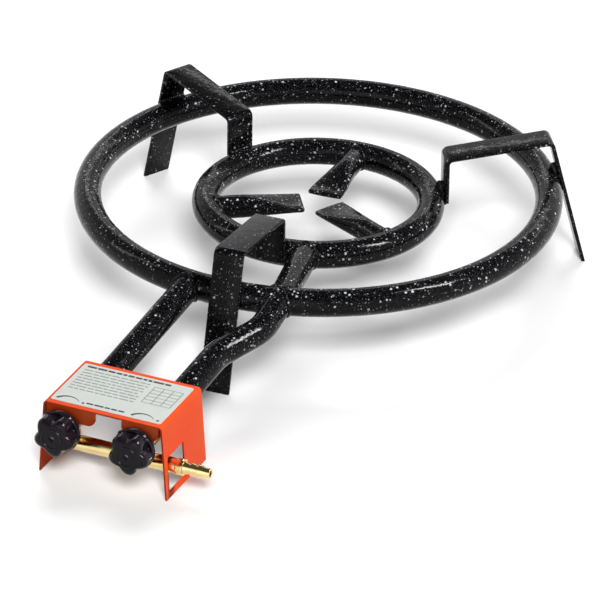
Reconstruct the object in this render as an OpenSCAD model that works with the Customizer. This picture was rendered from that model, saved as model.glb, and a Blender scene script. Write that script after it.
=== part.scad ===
// Two-ring gas burner with pan supports, twin taps and a folded control bracket.
// Millimetres, +Z up, floor at z = 0. The taps face -Y and the rings lie towards +Y.

/* [Rings] */
// Outside diameter of the outer burner ring
outer_ring_d = 400; // [380:1:430]
// Outside diameter of the inner burner ring
inner_ring_d = 207; // [196:1:220]
// Diameter of the tube that both rings are bent from
ring_tube_d = 22.5; // [20:0.1:22.8]
// Wall of the ring tube
ring_wall = 1.5; // [1:0.1:2.5]
// Height of the outer ring's centre line above the floor
outer_ring_z = 71.5; // [66:0.5:80]
// Height of the inner ring's centre line above the floor
inner_ring_z = 63; // [58:0.5:70]
// Diameter of a flame port
port_d = 2; // [1.5:0.1:3]
// Number of flame ports in the outer ring
outer_ports = 48; // [24:1:72]
// Number of flame ports in the inner ring
inner_ports = 24; // [12:1:36]

/* [Centre fingers] */
// Diameter of a finger tube where it joins the inner ring
finger_d = 19; // [16:0.5:21]
// Wall of a finger tube
finger_wall = 1.2; // [0.8:0.1:1.6]
// Width of the pinched tip
tip_w = 29; // [25:0.5:32]
// Thickness of the pinched tip
tip_t = 4.5; // [3.5:0.5:6]
// Length of the flat at the tip
tip_flat = 7; // [4:0.5:10]
// Distance of the tip's edge from the middle of the rings
tip_r = 13; // [11:0.5:18]
// Distance from the middle at which the tube is still round
finger_round_r = 62; // [55:1:70]

/* [Feed tubes] */
// How much less the feed tubes' radius is than the ring tube's
feed_under = 0.25; // [0.1:0.05:1]
// Wall of the feed tubes
feed_wall = 1.5; // [1:0.1:2.5]
// Sideways place of the outer ring's feed where it meets that ring
outer_feed_x = -27; // [-40:0.5:-26]
// Angle at which the inner ring's feed crosses the outer ring
cross_angle = 285; // [284:0.5:290]
// Angle at which the inner ring's feed meets the inner ring
join_angle = 288; // [287:0.5:296]
// Sideways place of the inner feed's first bend
bend_1_x = 31.5; // [28:0.5:36]
// Distance of the first bend in front of the outer ring
bend_1_y = 62; // [56:1:72]
// Sideways place of the inner feed's second bend
bend_2_x = 51; // [47:0.5:56]
// Distance of the second bend in front of the outer ring
bend_2_y = 21; // [18:1:26]
// Radius of the feed tube's bends, at the centre line
feed_bend_r = 40; // [30:1:45]
// Distance of the feed tubes' open mouths behind the bracket's front
mouth_y = 40; // [39:0.5:50]

/* [Pan supports] */
// Width of the flat bar
bar_w = 25; // [20:0.5:30]
// Thickness of the flat bar
bar_t = 3; // [2:0.5:5]
// Inside radius of the bar's bends
bar_bend_r = 3; // [2:0.5:6]
// Height of the pan rest at its outer end
rest_outer_z = 112; // [104:0.5:125]
// Height of the pan rest at its inner end
rest_inner_z = 101; // [95:0.5:112]
// Outward slope of the legs from upright, in degrees
leg_splay = 15; // [10:0.5:20]
// Depth of the inner leg's end below the inner ring's centre line
inner_leg_end = 2; // [0:0.5:8]
// Turn of the rings' supports from the bracket's axis, in degrees
support_turn = 2.6; // [0:0.1:5]

/* [Control bracket] */
// Width of the bracket's top
bracket_w = 100; // [98:1:110]
// Depth of the bracket's top
bracket_depth = 70; // [66:1:90]
// Height of the bracket
bracket_h = 62.8; // [61:0.1:70]
// Sideways place of the bracket's middle
bracket_x = -5; // [-8:0.5:-2]
// Gap from the outer ring to the bracket's rear edge
bracket_gap = 120; // [110:1:140]
// Thickness of the bracket's sheet
sheet = 1.5; // [1:0.1:2]
// Inside radius of the bracket's folds
fold_r = 1.5; // [1:0.1:3]
// Outward lean of each side plate at the floor
side_lean = 4.5; // [0:0.5:8]
// Width of the left front lug
left_lug_w = 41; // [38:0.5:44]
// Width of the right front lug
right_lug_w = 31; // [30.5:0.5:44]
// Drop of a front lug below the bracket's top
lug_drop = 13.5; // [10:0.5:18]
// Radius of a lug's lower corners
lug_corner_r = 7; // [3:0.5:9]
// Radius of the ear round a tap's neck
ear_r = 13; // [12:0.5:13.5]
// Depth of the window in the right side plate
window_depth = 28; // [24:0.5:32]
// Height of the window in the right side plate
window_h = 29; // [26:0.5:31]
// Strip left in front of the window
window_front = 6; // [4:0.5:6.5]
// Strip left below the window
window_sill = 5; // [3:0.5:8]
// Width of the label
label_w = 93; // [70:1:93]
// Depth of the label
label_depth = 61; // [40:1:62]
// Thickness of the label
label_t = 0.4; // [0.2:0.1:0.8]

/* [Gas rail] */
// Diameter of the rail
rail_d = 12.5; // [11:0.1:13]
// Bore of the rail and of the hose nozzle's shank
rail_bore = 8; // [7:0.1:8.5]
// Height of the rail's axis above the floor
rail_z = 25; // [22:0.5:27]
// Distance of the rail's axis behind the bracket's front
rail_y = 13; // [12.8:0.1:14]
// Left end of the rail, measured from the left tap
rail_left = 12; // [10:0.5:13]
// Right end of the rail, measured from the right tap
rail_right = 27; // [26:0.5:32]
// Width across flats of the nozzle's collar
collar_af = 13; // [12:0.5:14]
// Length of the nozzle's collar
collar_l = 6; // [4:0.5:8]
// Largest diameter of the hose barbs
barb_d = 10.6; // [10:0.1:12]
// Diameter of the nozzle's plain tip
hose_tip_d = 8; // [7:0.1:9]
// Length of the nozzle's plain tip
hose_tip_l = 4; // [3:0.5:6]
// Length of one barb
barb_l = 6; // [4:0.5:7]
// Number of barbs
barbs = 3; // [2:1:4]
// Bore of the nozzle
nozzle_bore = 5; // [4:0.1:5.5]

/* [Taps] */
// Distance of the left tap from the bracket's left edge
tap_left_in = 17; // [16:0.5:22]
// Distance of the right tap from the bracket's right edge
tap_right_in = 20; // [16:0.5:24]
// Height of the taps' axes above the floor
tap_z = 43.5; // [42.5:0.5:46]
// Diameter of the tap body
tap_d = 20; // [18:0.5:21]
// Length of the tap body behind the lug
tap_l = 26.5; // [25.5:0.5:29]
// Diameter of the tap's neck
neck_d = 14; // [13:0.1:15]
// Length of the neck in front of the lug
neck_l = 6; // [5.5:0.5:7]
// Diameter of the tap's plug
plug_d = 10; // [9:0.1:10.5]
// Diameter of the gas way through the plug
way_d = 3.5; // [2:0.1:4]
// Diameter of the low-flame way through the plug
low_way_d = 1.5; // [1:0.1:2]
// Width across flats of the tap's nut
nut_af = 19; // [18:0.5:20]
// Thickness of the tap's nut
nut_t = 4; // [3:0.5:4]
// Diameter of the spindle
spindle_d = 6; // [5:0.1:6.5]
// Thickness of the spindle's driving tongue
tongue_t = 2.8; // [2:0.1:3.5]
// Travel of the knob when it is pushed
push_travel = 2.5; // [1:0.1:2.5]
// Wire diameter of the tap's spring
spring_wire = 0.6; // [0.4:0.1:0.7]
// Turns of the tap's spring
spring_turns = 3; // [2:1:4]
// Diameter of the injector's jet
jet_d = 1.2; // [0.8:0.1:1.8]

/* [Knobs] */
// Diameter of the knob's round skirt
skirt_d = 34; // [31:0.5:36]
// Thickness of the knob's skirt
skirt_t = 4.5; // [4.5:0.5:6]
// Radius of the grip's lobes
lobe_r = 16.5; // [14:0.5:17]
// Radius of the grip's hollows
hollow_r = 11.6; // [11:0.1:13]
// Depth of the whole knob
knob_depth = 17.5; // [17:0.5:20]
// Gap between the knob and the lug
knob_gap = 4; // [3.5:0.5:4.5]
// Angle of the first lobe, seen from the front
lobe_phase = 197; // [180:1:251]

/* [Hidden] */
$fn = 64;

// Clearances shared by the pieces
weld_gap = 0.1;
cross_gap = 0.35;
seat_gap = 0.3;
running_gap = 0.05;
thread_gap = 0.1;
hole_gap = 0.2;
eps = 0.01;

// A bend is a little thicker than the straight tube that laps into it
bend_swell = 0.15;
bend_lap = 2;

// Rings, as centre-line and tube radii
tube_r = ring_tube_d / 2;
feed_r = tube_r - feed_under;
outer_r = outer_ring_d / 2 - tube_r;
inner_r = inner_ring_d / 2 - tube_r;
port_tilt = 45;

// Angles of the three supports and the three fingers
support_front_a = 270 + support_turn;
support_left_a = 150 + support_turn;
support_right_a = 30 + support_turn;
finger_back_a = 90 + support_turn;
finger_left_a = 210 + support_turn;
finger_right_a = 330 + support_turn;

// Bracket planes, measured from the middle of the rings
rear_y = -(outer_ring_d / 2 + bracket_gap);
front_y = rear_y - bracket_depth;
plate_under_z = bracket_h - sheet;
tap_left_x = bracket_x - bracket_w / 2 + tap_left_in;
right_tap_x = bracket_x + bracket_w / 2 - tap_right_in;

// Feed tubes climb on one straight slope from under the plate to the outer ring
outer_feed_y = -sqrt(outer_r * outer_r - outer_feed_x * outer_feed_x);
feed_rear_z = plate_under_z - seat_gap - feed_r;
feed_slope = (outer_ring_z - feed_rear_z) / (outer_feed_y - rear_y);
feed_mouth_y = front_y + mouth_y;
function feed_z(y) = feed_rear_z + feed_slope * (y - rear_y);
outer_feed_path = [
    [tap_left_x, feed_mouth_y, feed_z(feed_mouth_y)],
    [outer_feed_x, outer_feed_y, outer_ring_z]];
bend_1_y_at = -(outer_ring_d / 2 + bend_1_y);
bend_2_y_at = -(outer_ring_d / 2 + bend_2_y);
cross_lift = 0.4;
cross_cut_r = tube_r + cross_gap;
inner_feed_path = [
    [right_tap_x, feed_mouth_y, feed_z(feed_mouth_y)],
    [bend_1_x, bend_1_y_at, feed_z(bend_1_y_at)],
    [bend_2_x, bend_2_y_at, feed_z(bend_2_y_at)],
    [outer_r * cos(cross_angle), outer_r * sin(cross_angle), outer_ring_z + cross_lift],
    [inner_r * cos(join_angle), inner_r * sin(join_angle), inner_ring_z]];

// Pan support's outer face in the radial plane, tangent to both rings
leg_reach = cos(leg_splay) * outer_r + sin(leg_splay) * outer_ring_z + tube_r + weld_gap + bar_t;
function leg_r(z) = (leg_reach - sin(leg_splay) * z) / cos(leg_splay);
foot_r = leg_r(0);
inner_leg_r = inner_r + tube_r + weld_gap;
support_path = [[foot_r, 0], [leg_r(rest_outer_z), rest_outer_z],
                [inner_leg_r, rest_inner_z], [inner_leg_r, inner_ring_z - inner_leg_end]];

// Tap, measured along its axis from the lug's front face, backwards positive
neck_front = -neck_l;
bonnet_t = 2.5;
bonnet_spigot = 3;
bonnet_front = neck_front - bonnet_t;
collar_front = neck_front + bonnet_spigot + seat_gap;
spindle_collar_t = 2;
spring_front = collar_front + spindle_collar_t + thread_gap;
plug_front = 5.5;
tongue_bite = 2.5;
slot_depth = tongue_bite + push_travel + seat_gap;
spindle_round_end = plug_front - push_travel - seat_gap;
back_wall = 4;
bore_end = sheet + tap_l - back_wall;
plug_end = bore_end - seat_gap;
body_end = sheet + tap_l;
tap_bore_d = plug_d + 2 * running_gap;
spring_inset = 1;
spring_r = tap_bore_d / 2 - spring_inset;
stub_d = 12;
spigot_d = 6;
spigot_l = 2;
injector_d = 6;
injector_hex = 10;
injector_hex_t = 3;
injector_tip = 5;

// Knob, on the same axis
knob_back = -knob_gap;
knob_front = knob_back - knob_depth;
skirt_front = knob_back - skirt_t;
lobes = 5;
recess_gap = 1;
nut_recess_d = nut_af / cos(30) + 2 * recess_gap;
nut_recess_end = -nut_t - push_travel - seat_gap;
bonnet_recess_d = neck_d + 2 * recess_gap;
bonnet_recess_end = bonnet_front - push_travel - seat_gap;
spindle_inset = 3;
spindle_front = knob_front + spindle_inset;
flat_cut = 0.8;
face_hole_d = 4.5;
face_ring_r = 8;
face_ring_w = 1.2;
face_ring_deep = 0.6;
face_step = 1.6;
face_inset = 1.2;

// Rail and nozzle along X
rail_from = tap_left_x - rail_left;
rail_to = right_tap_x + rail_right;
rail_at_y = front_y + rail_y;
plug_head = 2;
rail_spigot_l = 6;
collar_to = rail_to + weld_gap + collar_l;
barbs_to = collar_to + barbs * barb_l;
nozzle_to = barbs_to + hose_tip_l;

// The frame's origin is under the middle of the object's box
foot_corners = [for (a = [support_front_a, support_left_a, support_right_a], s = [-1, 1])
    [foot_r * cos(a) - s * bar_w / 2 * sin(a), foot_r * sin(a) + s * bar_w / 2 * cos(a)]];
foot_xs = [for (p = foot_corners) p[0]];
x_min = min(-outer_ring_d / 2, min(foot_xs));
x_max = max(outer_ring_d / 2, max(foot_xs));
y_min = front_y + knob_front;
y_max = outer_ring_d / 2;
ring_middle = [-(x_min + x_max) / 2, -(y_min + y_max) / 2, 0];

// Colours of the finishes
enamel = "#1b1b1d";
orange = "#f0602f";
brass = "#c9a24a";
steel = "#9aa0a6";

// Moves a shape from the middle of the rings to the frame
module in_frame(finish) {
    color(finish) translate(ring_middle) children();
}

// Stands a shape on a tap's axis, with its own z along the axis towards the rings
module at_tap(x) {
    translate([x, front_y, tap_z]) rotate([-90, 0, 0]) children();
}

// Solid round bar between two heights of the tap's axis
module turned(d, from, to) {
    translate([0, 0, from]) cylinder(d = d, h = to - from);
}

module torus(r, tube) {
    rotate_extrude() translate([r, 0]) circle(tube);
}

function unit(v) = v / norm(v);

// Places a shape's z axis along the line from a to b
module along(a, b) {
    d = b - a;
    translate(a) rotate([0, acos(d[2] / norm(d)), atan2(d[1], d[0])]) children();
}

function bend_turn(p, i) = acos(unit(p[i] - p[i - 1]) * unit(p[i + 1] - p[i]));
function bend_len(p, i, r) =
    i == 0 || i == len(p) - 1 ? 0 : r * tan(bend_turn(p, i) / 2);

// Path whose first point lies further out, so that a bore along it runs clear of the tube's mouth
function longer(p, by) = [for (i = [0 : len(p) - 1]) i == 0 ? p[0] + unit(p[0] - p[1]) * by : p[i]];

// Round bar of radius r along a path, its corners bent to radius bend_r; the straights lap into the bends
module bent_bar(p, r, bend_r) {
    for (i = [0 : len(p) - 2]) {
        u = unit(p[i + 1] - p[i]);
        a = p[i] + u * (bend_len(p, i, bend_r) - (i == 0 ? 0 : bend_lap));
        b = p[i + 1] - u * (bend_len(p, i + 1, bend_r) - (i == len(p) - 2 ? 0 : bend_lap));
        along(a, b) cylinder(r = r, h = norm(b - a));
    }
    if (len(p) > 2)
        for (i = [1 : len(p) - 2]) {
            u = unit(p[i] - p[i - 1]);
            v = unit(p[i + 1] - p[i]);
            n = unit(v - (u * v) * u);
            w = cross(-n, u);
            c = p[i] - u * bend_len(p, i, bend_r) + n * bend_r;
            multmatrix([[-n[0], u[0], w[0], c[0]],
                        [-n[1], u[1], w[1], c[1]],
                        [-n[2], u[2], w[2], c[2]],
                        [0, 0, 0, 1]])
                rotate_extrude(angle = bend_turn(p, i)) translate([bend_r, 0]) circle(r + bend_swell);
        }
}

// Flat strip folded along a path, drawn on its outer face with the inside on the left
function left_of(u) = [-u[1], u[0]];
function strip_dir(p, i) = unit(p[i + 1] - p[i]);
function strip_turn(p, i) = acos(strip_dir(p, i - 1) * strip_dir(p, i));
function strip_arc(p, i, t, r, rad, steps = 6) =
    let (u = strip_dir(p, i - 1),
         n = left_of(u),
         turn = strip_turn(p, i),
         c = p[i] - u * (r + t) * tan(turn / 2) + n * (r + t),
         start = atan2(-n[1], -n[0]))
    [for (k = [0 : steps]) c + rad * [cos(start + turn * k / steps), sin(start + turn * k / steps)]];
function level_end(q, u, t) = q + left_of(u) * t - u * (left_of(u)[1] * t / u[1]);
function strip_outer(p, t, r) =
    concat([p[0]], [for (i = [1 : len(p) - 2], q = strip_arc(p, i, t, r, r + t)) q], [p[len(p) - 1]]);
function strip_inner(p, t, r) =
    concat([level_end(p[0], strip_dir(p, 0), t)],
           [for (i = [1 : len(p) - 2], q = strip_arc(p, i, t, r, r)) q],
           [level_end(p[len(p) - 1], strip_dir(p, len(p) - 2), t)]);
module folded_strip(p, t, r) {
    inner = strip_inner(p, t, r);
    polygon(concat(strip_outer(p, t, r), [for (k = [len(inner) - 1 : -1 : 0]) inner[k]]));
}

// Ring tube with its flame ports drilled upwards and inwards
module ported_ring(r, z, ports) {
    difference() {
        translate([0, 0, z]) torus(r, tube_r);
        translate([0, 0, z]) torus(r, tube_r - ring_wall);
        for (k = [0 : ports - 1])
            rotate([0, 0, (k + 0.5) * 360 / ports])
                translate([r, 0, z])
                    rotate([0, -port_tilt, 0])
                        translate([0, 0, tube_r - 2 * ring_wall])
                            cylinder(d = port_d, h = 3 * ring_wall);
        children();
    }
}

module outer_ring() in_frame(enamel) {
    ported_ring(outer_r, outer_ring_z, outer_ports) {
        along(outer_feed_path[1], outer_feed_path[0]) cylinder(r = feed_r - feed_wall, h = 2 * tube_r);
        bent_bar(inner_feed_path, cross_cut_r, feed_bend_r);
    }
}

module inner_ring() in_frame(enamel) {
    ported_ring(inner_r, inner_ring_z, inner_ports) {
        along(inner_feed_path[4], inner_feed_path[3]) cylinder(r = feed_r - feed_wall, h = 2 * tube_r);
        for (a = [finger_back_a, finger_left_a, finger_right_a])
            rotate([0, 0, a]) finger_bore(inner_r);
    }
}

// Bore of a finger tube's round length, out to radius to
module finger_bore(to) {
    translate([finger_round_r, 0, inner_ring_z]) rotate([0, 90, 0])
        cylinder(d = finger_d - 2 * finger_wall, h = to - finger_round_r);
}

// Flat-oval slice of the finger's tip, standing across the finger
module tip_slice(w, t, depth) {
    for (s = [-1, 1])
        translate([0, s * (w - t) / 2, 0]) rotate([0, 90, 0]) cylinder(d = t, h = depth, $fn = 24);
}

// Tube pinched from round to flat
module pinched(d, w, t) {
    translate([0, 0, inner_ring_z]) hull() {
        translate([finger_round_r, 0, 0]) rotate([0, 90, 0]) cylinder(d = d, h = eps, $fn = 32);
        translate([tip_r + tip_flat, 0, 0]) tip_slice(w, t, eps);
    }
}

module finger(a) in_frame(enamel) rotate([0, 0, a]) {
    difference() {
        union() {
            pinched(finger_d, tip_w, tip_t);
            translate([finger_round_r, 0, inner_ring_z]) rotate([0, 90, 0])
                cylinder(d = finger_d, h = inner_r - finger_round_r);
            translate([tip_r, 0, inner_ring_z]) {
                tip_slice(tip_w, tip_t, tip_flat);
                translate([0, -(tip_w - tip_t) / 2, -tip_t / 2]) cube([tip_flat, tip_w - tip_t, tip_t]);
            }
        }
        pinched(finger_d - 2 * finger_wall, tip_w - 2 * finger_wall, tip_t - 2 * finger_wall);
        finger_bore(inner_r);
        translate([0, 0, inner_ring_z]) torus(inner_r, tube_r + weld_gap);
    }
}

module finger_back() finger(finger_back_a);
module finger_left() finger(finger_left_a);
module finger_right() finger(finger_right_a);

module outer_feed_tube() in_frame(enamel) {
    difference() {
        bent_bar(outer_feed_path, feed_r, feed_bend_r);
        bent_bar(longer(outer_feed_path, feed_wall), feed_r - feed_wall, feed_bend_r);
        translate([0, 0, outer_ring_z]) torus(outer_r, tube_r + weld_gap);
    }
}

module inner_feed_tube() in_frame(enamel) {
    difference() {
        bent_bar(inner_feed_path, feed_r, feed_bend_r);
        bent_bar(longer(inner_feed_path, feed_wall), feed_r - feed_wall, feed_bend_r);
        translate([0, 0, inner_ring_z]) torus(inner_r, tube_r + weld_gap);
    }
}

module pan_support(a) in_frame(enamel) {
    rotate([90, 0, a]) linear_extrude(bar_w, center = true) folded_strip(support_path, bar_t, bar_bend_r);
}

module pan_support_front() pan_support(support_front_a);
module pan_support_left() pan_support(support_left_a);
module pan_support_right() pan_support(support_right_a);

// Front lug drawn from the front: rounded lower corners, an ear round the neck and its hole
module lug_outline(from, wide, tap_x) {
    bottom = bracket_h - lug_drop;
    top = bracket_h - fold_r;
    difference() {
        union() {
            translate([from, bottom + lug_corner_r]) square([wide, top - bottom - lug_corner_r]);
            translate([from + lug_corner_r, bottom]) square([wide - 2 * lug_corner_r, top - bottom]);
            intersection() {
                for (x = [from + lug_corner_r, from + wide - lug_corner_r])
                    translate([x, bottom + lug_corner_r]) circle(lug_corner_r);
                translate([from, bottom]) square([wide, lug_corner_r + eps]);
            }
            translate([tap_x, tap_z]) circle(ear_r);
            translate([tap_x - ear_r, tap_z]) square([2 * ear_r, top - tap_z]);
        }
        translate([tap_x, tap_z]) circle(d = neck_d + 2 * hole_gap);
    }
}

module control_bracket() in_frame(orange) {
    side = [bracket_w / 2 + side_lean, 0];
    top = [bracket_w / 2, bracket_h];
    profile = [side, top, [-top[0], top[1]], [-side[0], 0]];
    lug_inset = sheet + fold_r;
    difference() {
        translate([bracket_x, rear_y, 0]) rotate([90, 0, 0]) linear_extrude(bracket_depth)
            folded_strip(profile, sheet, fold_r);
        translate([bracket_x, front_y + window_front, window_sill])
            cube([bracket_w, window_depth, window_h]);
    }
    translate([0, front_y + sheet, 0]) rotate([90, 0, 0]) linear_extrude(sheet) {
        lug_outline(bracket_x - bracket_w / 2 + lug_inset, left_lug_w, tap_left_x);
        lug_outline(bracket_x + bracket_w / 2 - lug_inset - right_lug_w, right_lug_w, right_tap_x);
    }
}

module label_plate() in_frame("#e6e8e4") {
    translate([bracket_x - label_w / 2, (front_y + rear_y - label_depth) / 2, bracket_h])
        cube([label_w, label_depth, label_t]);
}

// Bar on the rail's axis between two places along X
module rail_bar(d, from, to, sides = 64) {
    translate([from, rail_at_y, rail_z]) rotate([0, 90, 0]) cylinder(d = d, h = to - from, $fn = sides);
}

module gas_rail() in_frame(brass) {
    difference() {
        rail_bar(rail_d, rail_from, rail_to);
        rail_bar(rail_bore, rail_from - eps, rail_to + eps);
        for (x = [tap_left_x, right_tap_x])
            translate([x, rail_at_y, rail_z]) cylinder(d = spigot_d + 2 * thread_gap, h = rail_d);
    }
}

module rail_plug() in_frame(brass) {
    rail_bar(rail_d, rail_from - weld_gap - plug_head, rail_from - weld_gap);
    rail_bar(rail_bore - 2 * thread_gap, rail_from - weld_gap, rail_from + rail_spigot_l);
}

module hose_nozzle() in_frame(brass) {
    difference() {
        union() {
            rail_bar(rail_bore - 2 * thread_gap, rail_to - rail_spigot_l, rail_to + weld_gap);
            rail_bar(collar_af / cos(30), rail_to + weld_gap, collar_to, 6);
            for (k = [0 : barbs - 1])
                translate([collar_to + k * barb_l, rail_at_y, rail_z]) rotate([0, 90, 0])
                    cylinder(d1 = barb_d, d2 = hose_tip_d, h = barb_l);
            rail_bar(hose_tip_d, barbs_to, nozzle_to);
        }
        rail_bar(nozzle_bore, rail_to - rail_spigot_l - eps, nozzle_to + eps);
    }
}

module tap_body(x) in_frame(brass) {
    drop = tap_z - rail_z;
    difference() {
        at_tap(x) {
            turned(neck_d, neck_front, sheet + weld_gap);
            turned(tap_d, sheet + weld_gap, body_end);
            translate([0, 0, rail_y]) rotate([-90, 0, 0]) {
                cylinder(d = stub_d, h = drop);
                cylinder(d = spigot_d, h = drop - rail_d / 2 + spigot_l);
            }
        }
        difference() {
            rail_bar(rail_d + 2 * weld_gap, rail_from, rail_to);
            translate([x, rail_at_y, rail_z]) cylinder(d = spigot_d, h = rail_d);
        }
        translate([x, rail_at_y, 0]) cylinder(d = stub_d + eps, h = rail_z + rail_d / 2 - spigot_l);
        at_tap(x) {
            turned(tap_bore_d, neck_front - eps, bore_end);
            turned(injector_d, bore_end - eps, body_end + eps);
            translate([0, 0, rail_y]) rotate([-90, 0, 0]) cylinder(d = way_d, h = drop + eps);
        }
    }
}

module left_tap_body() tap_body(tap_left_x);
module right_tap_body() tap_body(right_tap_x);

module tap_nut(x) in_frame(brass) at_tap(x) {
    difference() {
        translate([0, 0, -nut_t]) cylinder(d = nut_af / cos(30), h = nut_t - weld_gap, $fn = 6);
        turned(neck_d + 2 * running_gap, -nut_t - eps, eps);
    }
}

module left_tap_nut() tap_nut(tap_left_x);
module right_tap_nut() tap_nut(right_tap_x);

module tap_bonnet(x) in_frame(brass) at_tap(x) {
    difference() {
        union() {
            turned(neck_d, bonnet_front, neck_front - weld_gap);
            turned(tap_bore_d - 2 * thread_gap, neck_front - weld_gap, neck_front + bonnet_spigot);
        }
        turned(spindle_d + 2 * running_gap, bonnet_front - eps, neck_front + bonnet_spigot + eps);
    }
}

module left_tap_bonnet() tap_bonnet(tap_left_x);
module right_tap_bonnet() tap_bonnet(right_tap_x);

module injector(x) in_frame(brass) at_tap(x) {
    hex_from = body_end + weld_gap;
    hex_to = hex_from + injector_hex_t;
    difference() {
        union() {
            turned(injector_d - 2 * thread_gap, bore_end + seat_gap, hex_from);
            translate([0, 0, hex_from]) cylinder(d = injector_hex / cos(30), h = injector_hex_t, $fn = 6);
            translate([0, 0, hex_to]) cylinder(d1 = injector_d + 1, d2 = injector_d - 2, h = injector_tip);
        }
        turned(jet_d, bore_end, hex_to + injector_tip + eps);
    }
}

module left_injector() injector(tap_left_x);
module right_injector() injector(right_tap_x);

// Plug with its driving slot, gas way to the left, low-flame way upwards and outlet at the back
module tap_plug(x) in_frame(brass) at_tap(x) {
    slot_w = tongue_t + 2 * thread_gap;
    difference() {
        turned(plug_d, plug_front, plug_end);
        translate([-plug_d, -slot_w / 2, plug_front - eps]) cube([2 * plug_d, slot_w, slot_depth]);
        turned(way_d, rail_y, plug_end + eps);
        translate([0, 0, rail_y]) rotate([0, -90, 0]) cylinder(d = way_d, h = plug_d);
        translate([0, 0, rail_y]) rotate([90, 0, 0]) cylinder(d = low_way_d, h = plug_d);
    }
}

module left_tap_plug() tap_plug(tap_left_x);
module right_tap_plug() tap_plug(right_tap_x);

// Helical wire as one closed tube of spring_sides sides
spring_sides = 6;
spring_steps = 8;
spring_rings = spring_turns * spring_steps;
spring_from = spring_front + spring_wire / 2;
spring_rise = plug_front - thread_gap - spring_wire / 2 - spring_from;
function spring_point(k, j) =
    let (a = 360 * k / spring_steps,
         b = 360 * j / spring_sides,
         r = spring_r + spring_wire / 2 * cos(b))
    [r * cos(a), r * sin(a), spring_from + spring_rise * k / spring_rings + spring_wire / 2 * sin(b)];
module tap_spring(x) in_frame(steel) at_tap(x) {
    points = [for (k = [0 : spring_rings], j = [0 : spring_sides - 1]) spring_point(k, j)];
    wall = [for (k = [0 : spring_rings - 1], j = [0 : spring_sides - 1], half = [0, 1])
        let (a = k * spring_sides + j,
             b = k * spring_sides + (j + 1) % spring_sides,
             c = a + spring_sides,
             d = b + spring_sides)
        half == 0 ? [a, b, c] : [b, d, c]];
    last = spring_rings * spring_sides;
    ends = [for (j = [1 : spring_sides - 2], half = [0, 1])
        half == 0 ? [0, j + 1, j] : [last, last + j, last + j + 1]];
    polyhedron(points, concat(wall, ends));
}

module left_tap_spring() tap_spring(tap_left_x);
module right_tap_spring() tap_spring(right_tap_x);

// Round bar with one flat, from its front to flat_end
module flatted(d, from, to, flat_end) {
    difference() {
        turned(d, from, to);
        translate([-d, flat_cut - 1.5 * d, from - eps]) cube([2 * d, d, flat_end - from + eps]);
    }
}

module spindle(x) in_frame(steel) at_tap(x) {
    tongue_end = plug_front + tongue_bite;
    flatted(spindle_d, spindle_front, spindle_round_end, bonnet_recess_end);
    turned(tap_bore_d - 2 * seat_gap, collar_front, collar_front + spindle_collar_t);
    intersection() {
        turned(spindle_d, collar_front, tongue_end);
        translate([-spindle_d, -tongue_t / 2, collar_front])
            cube([2 * spindle_d, tongue_t, tongue_end - collar_front]);
    }
}

module left_spindle() spindle(tap_left_x);
module right_spindle() spindle(right_tap_x);

// Star outline with round lobes, its angles counted as seen from the front
function lobe_wave(a) = pow((1 + cos(lobes * (a - lobe_phase))) / 2, 0.75);
module star(shrink) {
    polygon([for (k = [0 : 119])
        let (a = 3 * k, r = hollow_r + (lobe_r - hollow_r) * lobe_wave(a) - shrink)
        [r * cos(a), -r * sin(a)]]);
}

module knob(x) in_frame("#17161a") at_tap(x) {
    difference() {
        union() {
            turned(skirt_d, skirt_front, knob_back);
            translate([0, 0, knob_front + face_step])
                linear_extrude(skirt_front - knob_front - face_step) star(0);
            translate([0, 0, knob_front]) linear_extrude(face_step) star(face_inset);
        }
        turned(nut_recess_d, nut_recess_end, knob_back + eps);
        turned(bonnet_recess_d, bonnet_recess_end, nut_recess_end + eps);
        flatted(spindle_d + 2 * running_gap, spindle_front - seat_gap, bonnet_recess_end + eps,
                bonnet_recess_end + eps);
        turned(face_hole_d, knob_front - eps, spindle_front);
        difference() {
            turned(2 * face_ring_r, knob_front - eps, knob_front + face_ring_deep);
            turned(2 * (face_ring_r - face_ring_w), knob_front - 2 * eps, knob_front + face_ring_deep + eps);
        }
    }
}

module left_knob() knob(tap_left_x);
module right_knob() knob(right_tap_x);

outer_ring();
inner_ring();
finger_back();
finger_left();
finger_right();
outer_feed_tube();
inner_feed_tube();
pan_support_front();
pan_support_left();
pan_support_right();
control_bracket();
label_plate();
gas_rail();
rail_plug();
hose_nozzle();
left_tap_body();
right_tap_body();
left_tap_nut();
right_tap_nut();
left_tap_bonnet();
right_tap_bonnet();
left_injector();
right_injector();
left_tap_plug();
right_tap_plug();
left_tap_spring();
right_tap_spring();
left_spindle();
right_spindle();
left_knob();
right_knob();
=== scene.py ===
"""Looks of a two-ring gas burner: speckled enamel, orange bracket, brass fittings, black knobs."""

import math
from collections import namedtuple
from functools import partial

import bmesh
import bpy
import numpy as np
from bpy.props import FloatProperty, FloatVectorProperty, IntProperty, PointerProperty
from mathutils import Matrix, Vector


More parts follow.
